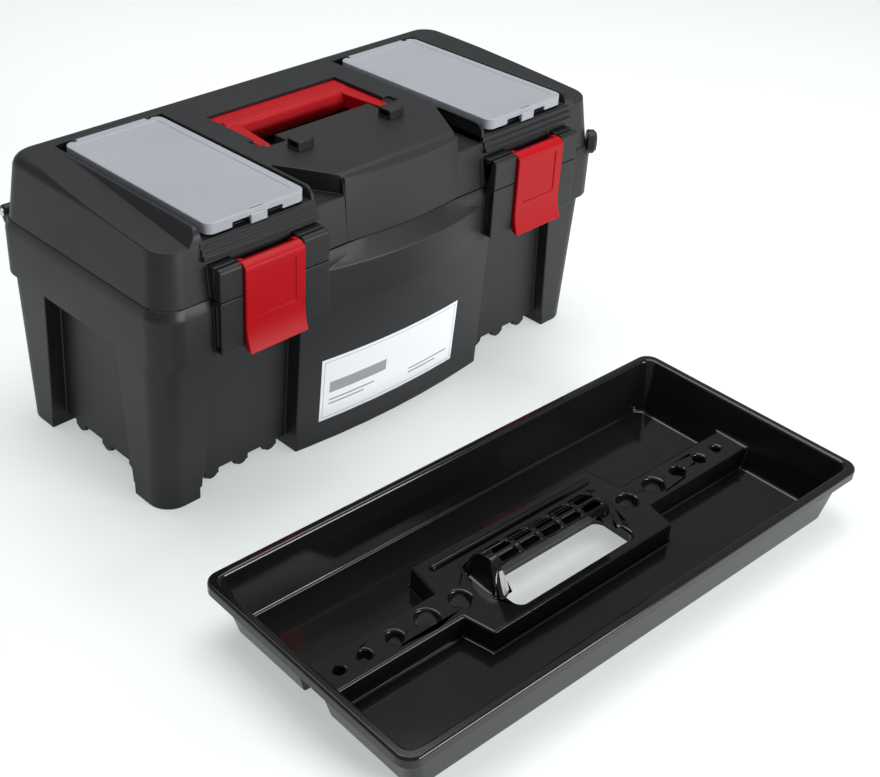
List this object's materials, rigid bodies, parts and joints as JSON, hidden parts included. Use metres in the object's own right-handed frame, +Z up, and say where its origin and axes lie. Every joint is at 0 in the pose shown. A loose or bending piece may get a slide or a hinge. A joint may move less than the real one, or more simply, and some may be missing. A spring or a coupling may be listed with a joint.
{
  "type": "tool case",
  "caption": "Hard plastic tool case with hinged lid, snap latches, folding handle, clear-covered lid organizers and a lift-out tray with a grip.",
  "frame": {"origin": "middle of the base's underside, on the surface that the case stands on", "axes": "+X along the case to its right end, +Y to the hinge side at the back, +Z up"},
  "size_m": [0.62, 0.6469, 0.277],
  "materials": {
    "black_plastic": "fine moulded texture, satin black polypropylene",
    "tray_plastic": "smooth glossy black polypropylene",
    "red_plastic": "satin red polypropylene",
    "clear_plastic": "frosted clear polypropylene",
    "pin_steel": "drawn wire",
    "label_film": "pale printed film without words or marks"
  },
  "bodies": {
    "base": {"base_shell": "black_plastic", "front_label": "label_film", "hinge_pin_left": "pin_steel", "hinge_pin_right": "pin_steel"},
    "lid": {"lid_shell": "black_plastic", "latch_pin_left": "pin_steel", "latch_pin_right": "pin_steel", "lug_left": "black_plastic", "lug_right": "black_plastic", "organizer_bin_left": "black_plastic", "organizer_bin_right": "black_plastic", "organizer_divider_left_front": "black_plastic", "organizer_divider_left_back": "black_plastic", "organizer_divider_right_front": "black_plastic", "organizer_divider_right_back": "black_plastic"},
    "latch_left": {"latch_left": "red_plastic"},
    "latch_right": {"latch_right": "red_plastic"},
    "handle": {"handle": "red_plastic"},
    "cover_left": {"organizer_cover_left": "clear_plastic"},
    "cover_right": {"organizer_cover_right": "clear_plastic"},
    "tray": {"tray": "tray_plastic"}
  },
  "joints": [
    {"name": "lid_hinge", "type": "hinge", "parent": "base", "child": "lid", "pos_m": [0, 0.135, 0.2], "axis": [-1, 0, 0], "range_deg": [0, 105]},
    {"name": "latch_left_hinge", "type": "hinge", "parent": "lid", "child": "latch_left", "pos_m": [-0.166, -0.129, 0.229], "axis": [-1, 0, 0], "range_deg": [0, 100]},
    {"name": "latch_right_hinge", "type": "hinge", "parent": "lid", "child": "latch_right", "pos_m": [0.166, -0.129, 0.229], "axis": [-1, 0, 0], "range_deg": [0, 100]},
    {"name": "handle_hinge", "type": "hinge", "parent": "lid", "child": "handle", "pos_m": [0, -0.014, 0.256], "axis": [1, 0, 0], "range_deg": [0, 90]},
    {"name": "cover_left_hinge", "type": "hinge", "parent": "lid", "child": "cover_left", "pos_m": [-0.1656, 0.0925, 0.267], "axis": [-1, 0, 0], "range_deg": [0, 100]},
    {"name": "cover_right_hinge", "type": "hinge", "parent": "lid", "child": "cover_right", "pos_m": [0.1656, 0.0925, 0.267], "axis": [-1, 0, 0], "range_deg": [0, 100]},
    {"name": "tray_lift", "type": "slide", "parent": "base", "child": "tray", "axis": [0, 0, 1], "range_m": [0, 0.3]}
  ]
}
